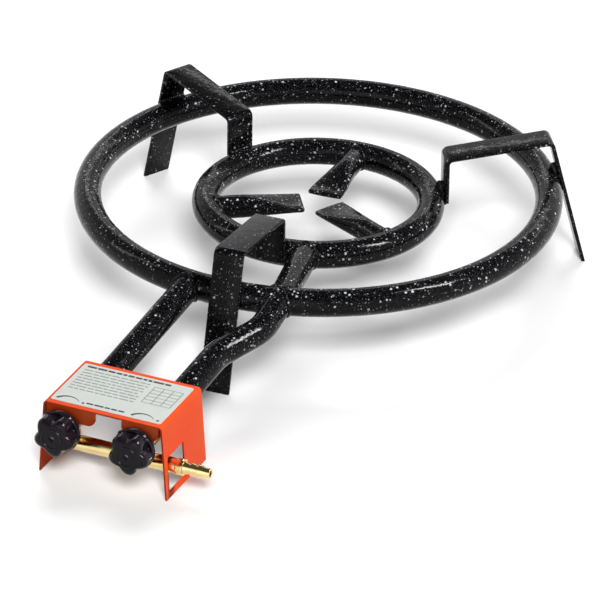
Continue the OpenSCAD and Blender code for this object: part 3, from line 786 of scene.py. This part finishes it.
def turned_grid(stations, outline, origin, axis):
    """Closed profile carried round the x axis (0) or y axis (1) through origin.

    stations are rows of (place along the axis, round radius, part, offset): the radius is the round
    one, and by its part that of the outline, given at even angles, plus the offset.
    """
    place, plain, part, offset = np.array(stations).T[..., None]
    radius = (1 - part) * plain + part * (outline + offset)
    around = circle(np.eye(3)[1 - axis], UP, len(outline))
    return origin + place[..., None] * np.eye(3)[axis] + radius[..., None] * around


def round_rows(points):
    """Stations that are round, from (place, radius)."""
    return [(*point, 0, 0) for point in points]


def arc(centre, radius, start, stop, steps=6):
    """Points of an arc in a plane, its angles in degrees from the plane's first axis."""
    a = np.radians(np.linspace(start, stop, steps + 1))
    return np.stack([centre[0] + radius * np.cos(a), centre[1] + radius * np.sin(a)], -1)


def knob_stations(knob, back, front):
    """Closed profile of a knob, from its face hole through its bore and recesses round to its face.

    The grip takes the star outline; its front edge is a quarter ellipse from that outline to the
    round face, wide on the lobes and narrow in the hollows, and the face has one raised ring.
    """
    skirt_front = back - knob.skirt_depth
    rim, edge, fillet, fillet_in, fillet_out = 1.2 * MM, 4.5 * MM, 0.9 * MM, 0.1 * MM, 0.25 * MM
    shoulder, shoulder_r, top = front + 0.1 * MM, 4 * MM, front + 0.2 * MM
    hole, hole_from, hole_end, chamfer = 2.25 * MM, front + 0.4 * MM, front + 2.7 * MM, 0.5 * MM
    bore, bore_end = 3.05 * MM, back - 7.3 * MM
    recess, recess_end, dish = 8 * MM, back - 2.8 * MM, 12 * MM
    ring, ring_w, ring_h = knob.face - 1.8 * MM, 0.9 * MM, 0.7 * MM
    grip_rows, turn_rows, bead_rows = 8, 13, 9
    inside = [(hole_from, hole), (hole_end, hole), (hole_end, bore), (bore_end, bore)]
    inside += [(bore_end, recess), (recess_end, recess), (recess_end, dish), (back, dish)]
    skirt = [
        *arc((back - rim, knob.skirt - rim), rim, 0, 90),
        *arc((skirt_front + rim, knob.skirt - rim), rim, 90, 180),
    ]
    root = [(skirt_front + fillet, 0, 1, fillet), (skirt_front - fillet_in, 0, 1, fillet_out)]
    grip_to = top + edge
    grip = [(place, 0, 1, 0) for place in np.linspace(skirt_front - fillet, grip_to, grip_rows)]
    quarter = np.linspace(0, math.pi / 2, turn_rows)[1:]
    half = np.linspace(0, math.pi, bead_rows)
    turn = [(grip_to - edge * math.sin(a), knob.face, math.cos(a), 0) for a in quarter]
    bead = [(top - ring_h * math.sin(a), ring + ring_w * math.cos(a)) for a in half]
    face = [(top, ring + 1.5 * ring_w), *bead, (top, ring - 2 * ring_w)]
    face += [(shoulder, shoulder_r), (front, hole + chamfer)]
    return [*round_rows(inside + skirt), *root, *grip, *turn, *round_rows(face)]


def star(knob):
    """Outline of the grip: hollow plus a lobe wave, ((1 + cos n (u - phase)) / 2) ** blunt."""
    columns, blunt = 180, 0.75
    wave = ((1 + np.cos(knob.lobes * (even_angles(columns) - knob.phase))) / 2) ** blunt
    return knob.hollow + (knob.lobe - knob.hollow) * wave


def nozzle_stations(nozzle, start, end):
    """Closed profile of the nozzle: shank, chamfered hexagon collar, barbs, plain tip and bore."""
    chamfer, fit, tip_edge, bore_edge = 0.9 * MM, 0.1 * MM, 0.6 * MM, 0.5 * MM
    collar_from = start + nozzle.shank_length + fit
    collar_to = collar_from + nozzle.collar
    corner, neck = nozzle.across_flats / 2 - fit, nozzle.barb - 0.5 * MM
    shank = [(start, nozzle.shank), (collar_from, nozzle.shank), (collar_from, corner)]
    rows = round_rows(shank)
    rows += [(collar_from + chamfer, 0, 1, 0), (collar_to - chamfer, 0, 1, 0)]
    rows += round_rows([(collar_to, corner), (collar_to, neck)])
    # A barb's sharp edge: distances along the nozzle and below the barb's radius
    lip = np.array([[0.05, 0.25], [0.3, 0], [0.9, 0.05]]) * MM
    for k in range(nozzle.barbs):
        x = collar_to + k * nozzle.barb_length
        first = neck if k == 0 else nozzle.root
        last = nozzle.tip if k == nozzle.barbs - 1 else nozzle.root
        barb = [(x + along, nozzle.barb - below) for along, below in lip]
        rows += round_rows([(barb[0][0], first), *barb, (x + nozzle.barb_length, last)])
    rows += round_rows(arc((end - tip_edge, nozzle.tip - tip_edge), tip_edge, 90, 0))
    rows += round_rows(arc((end - bore_edge, nozzle.bore + bore_edge), bore_edge, 0, -90))
    return rows + round_rows([(start, nozzle.bore)])


def hexagon(nozzle):
    """Outline of the collar: half its width over the cosine of the angle from the nearest flat."""
    columns, sixth = 72, np.pi / 3
    off_flat = (even_angles(columns) + sixth / 2) % sixth - sixth / 2
    return nozzle.across_flats / 2 / np.cos(off_flat)


def spring_grid(spring, low, high):
    """Helix of round wire between two corners of its box.

    A circle of the wire's radius goes round the y axis at an even rise, from the front to the back.
    """
    steps, columns = 32, 12
    wire = spring.wire / 2
    middle = (low + high) / 2
    turn = np.linspace(0, TURN * spring.turns, steps * spring.turns + 1)[:, None]
    u = even_angles(columns)
    reach = (high - low)[0] / 2 - wire + wire * np.cos(u)
    rise = low[1] + wire + (high[1] - low[1] - 2 * wire) * turn / turn[-1] + wire * np.sin(u)
    return np.stack([middle[0] + reach * np.cos(turn), rise, middle[2] + reach * np.sin(turn)], -1)


def strip_grid(line, width, height, floor):
    """Flat ink strip: a rectangle carried along points in the plane, with its own width at each."""
    way = unit(np.gradient(line, axis=0))
    left = np.stack([-way[:, 1], way[:, 0]], -1)
    half = np.broadcast_to(np.asarray(width, float), (len(line),)) / 2
    flat = line[:, None] + np.stack([-half, half, half, -half], -1)[..., None] * left[:, None]
    level = np.array([floor, floor, floor + height, floor + height])
    return np.concatenate([flat, np.broadcast_to(level[:, None], (len(line), 4, 1))], -1)


def rule(x0, y0, x1, y1):
    """Two ends of a straight rule on the label."""
    return np.array([[x0, y0], [x1, y1]])


def broken_line(chance, start, stop, y, width):
    """Plain bars of 3 to 9 mm with 1 mm between them along a straight line, as (line, width)."""
    shortest, gap, most = 2 * MM, 1 * MM, 40
    ends = start + np.cumsum(chance.uniform(4, 10, most)) * MM
    bars = zip([start, *ends[:-1]], ends)
    return [(rule(a, y, min(b - gap, stop), y), width) for a, b in bars if a < stop - shortest]


def label_marks(centre, width, depth):
    """Dark heading, foot line and flame-size arcs, and pale lines and table.

    Each is a (line, width) about the label's middle.
    """
    margin, heading, bold, plain, hair = 4 * MM, 2.4 * MM, 2 * MM, 1.5 * MM, 0.8 * MM
    bow_r, bow_down, bow_end, dash_from, dash_to = 11 * MM, 6 * MM, 0.3 * MM, 11.5 * MM, 13.5 * MM
    bow_start, bow_stop, bow_steps = 150, 35, 23
    pitch, first_line, last_line = 4.2 * MM, 1.3, 9
    cell, cells, rulings = 5 * MM, 5, 4
    left, right = -width / 2 + margin, width / 2 - margin
    rear, front = depth / 2 - margin, -depth / 2 + margin
    foot_from, foot_to, foot = -18 * MM, 14 * MM, front + 1 * MM
    heading_to, table_left, table_rear = right - 14 * MM, right - 24 * MM, rear - 7 * MM
    chance = np.random.default_rng(5)
    dark = broken_line(chance, left, heading_to, rear, heading)
    dark += broken_line(chance, foot_from, foot_to, foot, bold)
    for side in TAP_SIDES:
        tap = middle_of(f"{side}_knob")[0] - centre[0]
        bow = arc((tap, front - bow_down), bow_r, bow_start, bow_stop, bow_steps)
        dark.append((bow, np.linspace(heading, bow_end, len(bow))))
        dark.append((rule(tap + dash_from, front, tap + dash_to, front), bold))
    pale = []
    for row in np.arange(first_line, last_line):
        pale += broken_line(chance, left, table_left - cell, rear - row * pitch, plain)
    for y in table_rear - np.arange(cells + 1) * cell:
        pale.append((rule(table_left, y, right, y), hair))
    for x in np.linspace(table_left, right, rulings):
        pale.append((rule(x, table_rear, x, table_rear - cells * cell), hair))
    return dark, pale


class BURNER_OT_ring_tubes(bpy.types.Operator):
    """Enamels the two rings and builds their feed tubes"""

    bl_idname = "burner.ring_tubes"
    bl_label = "Ring and feed tubes"

    def execute(self, context):
        glaze = enamel(context.scene)
        dress(("outer_ring", "inner_ring"), glaze)
        for place, (corners, ring) in feed_routes().items():
            grid = feed_grid(context.scene.burner_feed, corners, ring)
            node = f"{place}_feed_tube"
            make_piece(f"bent_feed_{place}", [grid], glaze, stands_for=node)
        return {"FINISHED"}


class BURNER_OT_centre_fingers(bpy.types.Operator):
    """Builds the three pinched tubes inside the inner ring"""

    bl_idname = "burner.centre_fingers"
    bl_label = "Centre fingers"

    def execute(self, context):
        glaze = enamel(context.scene)
        for place, degrees in FINGER_ANGLES.items():
            grid = finger_grid(context.scene.burner_finger, degrees)
            node = f"finger_{place}"
            make_piece(f"pinched_finger_{place}", [grid], glaze, stands_for=node)
        return {"FINISHED"}


class BURNER_OT_pan_supports(bpy.types.Operator):
    """Builds the three bent flat bars with rounded edges"""

    bl_idname = "burner.pan_supports"
    bl_label = "Pan supports"

    def execute(self, context):
        look = context.scene.burner_enamel
        # Pan supports: enamel with fewer specks on upward faces, a painted sheen
        glaze = finish(vitreous_enamel, "vitreous_enamel_painted_sheen_tops", look, look.sheen_top_cover)
        for place, degrees in SUPPORT_ANGLES.items():
            grid = support_grid(context.scene.burner_support, degrees)
            node = f"pan_support_{place}"
            make_piece(f"bent_bar_{place}", [grid], glaze, stands_for=node)
        return {"FINISHED"}


class BURNER_OT_weld_beads(bpy.types.Operator):
    """Lays weld beads where tubes and legs meet the rings"""

    bl_idname = "burner.weld_beads"
    bl_label = "Weld beads"

    def execute(self, context):
        scene = context.scene
        weld = scene.burner_weld
        tubes = tube_seams(scene.burner_finger.diameter / 2)
        legs = leg_seams(scene.burner_support, weld.leg_spread)
        for name, seams, bead, closed in (
            ("tube_welds", tubes, weld.tube_bead, True),
            ("leg_welds", legs, weld.leg_bead, False),
        ):
            grids = [bead_grid(path, bead, weld.ripple, closed, lean) for path, lean in seams]
            make_piece(name, grids, enamel(scene), wrap_rows=closed)
        return {"FINISHED"}


class BURNER_OT_control_bracket(bpy.types.Operator):
    """Paints the folded bracket and rounds its edges"""

    bl_idname = "burner.control_bracket"
    bl_label = "Control bracket"

    def execute(self, context):
        look = context.scene.burner_paint
        paint = finish(sprayed_paint, "sprayed_orange_paint", look)
        softened_copy("control_bracket", "folded_bracket", look.edge, paint)
        return {"FINISHED"}


class BURNER_OT_label(bpy.types.Operator):
    """Builds the label with its flame-size marks and plain rules"""

    bl_idname = "burner.label"
    bl_label = "Label"

    def execute(self, context):
        label = context.scene.burner_label
        film_gloss, ink_gloss = (0.38, 0.55), (0.45, 0.6)
        vinyl = finish(satin_vinyl, "satin_vinyl", label.face, *film_gloss)
        ink = finish(satin_vinyl, "screen_ink", label.ink, *ink_gloss)
        pale = finish(satin_vinyl, "pale_screen_ink", label.pale_ink, *ink_gloss)
        edge, top, height = 0.1 * MM, LABEL_HIGH[2], label.ink_height
        bed = top - height / 4
        width, depth = (LABEL_HIGH - LABEL_LOW)[:2]
        centre = middle_of("label_plate")[:2]
        outline = rounded_rectangle(width, depth, label.corner)
        inner = rounded_rectangle(width - 2 * edge, depth - 2 * edge, label.corner)
        rows = [(outline, LABEL_LOW[2]), (outline, top - edge), (inner, top)]
        grid = np.stack([np.column_stack([centre + p, np.full(len(p), z)]) for p, z in rows])
        make_piece("label_film", [grid], vinyl, stands_for="label_plate")
        dark, grey = label_marks(centre, width, depth)
        for name, marks, material in (("label_marks", dark, ink), ("label_rules", grey, pale)):
            strips = [strip_grid(centre + p, wide, height, bed) for p, wide in marks]
            make_piece(name, strips, material)
        return {"FINISHED"}


class BURNER_OT_gas_fittings(bpy.types.Operator):
    """Gives the rail, taps and nozzle their brass, and the spindles and springs their steel"""

    bl_idname = "burner.gas_fittings"
    bl_label = "Gas fittings"

    def execute(self, context):
        scene = context.scene
        nozzle = scene.burner_nozzle
        brass = finish(turned_brass, "turned_brass", scene.burner_brass)
        steel = finish(drawn_steel, "drawn_steel")
        fittings = ("tap_body", "tap_nut", "tap_bonnet", "injector", "tap_plug")
        dress(("gas_rail", "rail_plug"), brass)
        dress([f"{side}_{part}" for side in TAP_SIDES for part in fittings], brass)
        dress([f"{side}_spindle" for side in TAP_SIDES], steel)
        for side in TAP_SIDES:
            body, node, push = f"{side}_plug", f"{side}_tap_spring", f"{side}_knob_push"
            low, high = box(node)
            grid = spring_grid(scene.burner_spring, low, high)
            spring = make_piece(f"{side}_coil_spring", [grid], steel, body, node)
            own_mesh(spring)
        low, high = box("hose_nozzle")
        stations = nozzle_stations(nozzle, low[0], high[0])
        grid = turned_grid(stations, hexagon(nozzle), middle_of("gas_rail") * (0, 1, 1), axis=0)
        make_piece("barbed_nozzle", [grid], brass, BODY, "hose_nozzle", wrap_rows=True)
        return {"FINISHED"}


class BURNER_OT_knobs(bpy.types.Operator):
    """Builds the two star-shaped knobs"""

    bl_idname = "burner.knobs"
    bl_label = "Knobs"

    def execute(self, context):
        knob = context.scene.burner_knob
        plastic = finish(moulded_phenolic, "moulded_phenolic", knob)
        for side in TAP_SIDES:
            name, body, node = f"{side}_star_knob", f"{side}_handle", f"{side}_knob"
            low, high = box(node)
            stations = knob_stations(knob, high[1], low[1])
            grid = turned_grid(stations, star(knob), middle_of(node) * (1, 0, 1), axis=1)
            make_piece(name, [grid], plastic, body, node, wrap_rows=True, sharp=50)
        return {"FINISHED"}


# Softboxes: azimuth and elevation in degrees seen from the rings, distance and sides in metres,
# watts, and what each lights: the burner, the knobs alone, whose black gloss needs a broad one for
# its glints, or the floor, which takes the burner's shadow
SOFTBOXES = {
    "key": (94, 52, 3.0, 0.26, 1.2, 97, "burner"),
    "left": (-80, 35, 3.0, 0.35, 1.6, 9, "burner"),
    "back": (183, 33, 3.0, 4.0, 0.06, 9, "burner"),
    "front": (5, 20, 3.0, 2.0, 2.0, 10, "burner"),
    "knobs": (62, 42, 3.0, 1.8, 1.0, 180, "knobs"),
    "floor_front": (28, 40, 12.0, 3.6, 3.6, 1750, "floor"),
    "floor_back": (204, 48, 6.0, 4.0, 4.0, 285, "floor"),
}
CAMERA_AIM = np.array([4.5, -44.0, -5.9]) * MM
FLOOR_SIZE = 40.0


def towards(azimuth, elevation):
    """Direction at an angle to the right of the front and an angle above the floor."""
    flat = math.cos(elevation)
    return Vector((math.sin(azimuth) * flat, -math.cos(azimuth) * flat, math.sin(elevation)))


def seen(add):
    """1 for a ray that shows a surface to the camera, directly or in a gloss or glass, else 0."""
    ray = add("LightPath").node.outputs
    shown = add("Math", {0: ray["Is Camera Ray"], 1: ray["Is Glossy Ray"]}, operation="ADD")
    return add("Math", {0: shown, 1: ray["Is Transmission Ray"]}, operation="MAXIMUM")


def lay_floor(stage):
    """Floor that is pale where it is seen and darker where it only throws light back."""
    half = FLOOR_SIZE / 2
    mesh = bpy.data.meshes.new("floor")
    corners = [(-half, -half, 0), (half, -half, 0), (half, half, 0), (-half, half, 0)]
    mesh.from_pydata(corners, [], [(0, 1, 2, 3)])
    floor = put("floor", mesh)
    floor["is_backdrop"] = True
    material = bpy.data.materials.new("pale_floor")
    tree, add = nodes_of(material)
    tree.nodes.remove(tree.nodes["Principled BSDF"])
    tones = {"Factor": seen(add), "A": (*stage.floor_bounce, 1), "B": (*stage.floor, 1)}
    tone = add("Mix", tones, "Result", data_type="RGBA")
    add("BsdfDiffuse", {"Color": tone}, to=tree.nodes["Material Output"].inputs["Surface"])
    coat(mesh, material)


def hang_lamps():
    """Rectangular softboxes that face the middle of the rings, each lighting what it is for."""
    knobs = [f"{side}_star_knob" for side in TAP_SIDES]
    for name, (azimuth, elevation, distance, width, height, watts, lights) in SOFTBOXES.items():
        out = towards(math.radians(azimuth), math.radians(elevation))
        lamp = bpy.data.lights.new(name, "AREA")
        lamp.shape = "RECTANGLE"
        lamp.size = width
        lamp.size_y = height
        lamp.energy = watts
        holder = put(name, lamp)
        holder.location = Vector(RING_MIDDLE) + out * distance
        holder.rotation_mode = "QUATERNION"
        holder.rotation_quaternion = out.to_track_quat("Z", "Y")
        lit = bpy.data.collections.new(f"{name}_lights")
        for target in knobs if lights == "knobs" else ["floor"]:
            lit.objects.link(bpy.data.objects[target])
        for entry in lit.collection_objects:
            entry.light_linking.link_state = "EXCLUDE" if lights == "burner" else "INCLUDE"
        holder.light_linking.receiver_collection = lit


def light_world(stage):
    """Studio surround: white at the horizon, darker overhead."""
    world = bpy.data.worlds.new("studio")
    bpy.context.scene.world = world
    tree, add = nodes_of(world)
    sky = tree.nodes["Background"].inputs
    strength = {"Value": seen(add), "To Min": stage.fill, "To Max": 1.0}
    add("MapRange", strength, to=sky["Strength"])
    height = add("SeparateXYZ", {"Vector": add("TexCoord", output="Generated")}, "Z")
    rise = {"Value": height, "From Min": 0.25, "From Max": 0.8}
    fade = add("MapRange", rise, interpolation_type="SMOOTHSTEP")
    tones = {"Factor": fade, "A": (1, 1, 1, 1), "B": (*stage.overhead, 1)}
    add("Mix", tones, "Result", sky["Color"], data_type="RGBA")


def set_camera(stage):
    """Camera on a sphere round its aim, rolled about its own axis."""
    back = towards(stage.azimuth, stage.elevation)
    right = Vector((math.cos(stage.azimuth), math.sin(stage.azimuth), 0))
    turn = Matrix((right, back.cross(right), back)).transposed().to_4x4()
    data = bpy.data.cameras.new("camera")
    data.sensor_width = 36
    data.lens = stage.lens / MM
    data.clip_end = 100
    camera = put("camera", data)
    place = Matrix.Translation(Vector(RING_MIDDLE + CAMERA_AIM) + back * stage.distance)
    camera.matrix_world = place @ turn @ Matrix.Rotation(stage.roll, 4, "Z")
    bpy.context.scene.camera = camera


class BURNER_OT_stage(bpy.types.Operator):
    """Sets the floor, lamps, world and camera"""

    bl_idname = "burner.stage"
    bl_label = "Stage"

    def execute(self, context):
        stage = context.scene.burner_stage
        lay_floor(stage)
        hang_lamps()
        light_world(stage)
        set_camera(stage)
        context.scene.view_settings.view_transform = "Standard"
        return {"FINISHED"}


class BURNER_PT_panel(bpy.types.Panel):
    """Lists the burner's pieces"""

    bl_idname = "BURNER_PT_panel"
    bl_label = "Gas burner"
    bl_space_type = "VIEW_3D"
    bl_region_type = "UI"
    bl_category = "Burner"

    def draw(self, context):
        for operator in OPERATORS:
            self.layout.operator(operator.bl_idname)
        for name in SETTINGS:
            group = getattr(context.scene, name)
            for field in group.bl_rna.properties.keys():
                if field not in ("rna_type", "name"):
                    self.layout.prop(group, field)


SETTINGS = {
    "burner_enamel": EnamelSettings,
    "burner_paint": PaintSettings,
    "burner_brass": BrassSettings,
    "burner_feed": FeedSettings,
    "burner_finger": FingerSettings,
    "burner_support": SupportSettings,
    "burner_weld": WeldSettings,
    "burner_label": LabelSettings,
    "burner_knob": KnobSettings,
    "burner_nozzle": NozzleSettings,
    "burner_spring": SpringSettings,
    "burner_stage": StageSettings,
}
OPERATORS = (
    BURNER_OT_ring_tubes,
    BURNER_OT_centre_fingers,
    BURNER_OT_pan_supports,
    BURNER_OT_weld_beads,
    BURNER_OT_control_bracket,
    BURNER_OT_label,
    BURNER_OT_gas_fittings,
    BURNER_OT_knobs,
    BURNER_OT_stage,
)


def register():
    for made in (*SETTINGS.values(), *OPERATORS, BURNER_PT_panel):
        bpy.utils.register_class(made)
    for name, group in SETTINGS.items():
        setattr(bpy.types.Scene, name, PointerProperty(type=group))


def unregister():
    for name in SETTINGS:
        delattr(bpy.types.Scene, name)
    for made in reversed((*SETTINGS.values(), *OPERATORS, BURNER_PT_panel)):
        bpy.utils.unregister_class(made)


def main():
    """Registers the add-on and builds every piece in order."""
    register()
    for operator in OPERATORS:
        group, name = operator.bl_idname.split(".")
        getattr(getattr(bpy.ops, group), name)()
    boxes = {"cad": CAD_BOX, "visual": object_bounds()}
    {name: [list(corner) for corner in pair] for name, pair in boxes.items()}


if __name__ == "__main__":
    main()
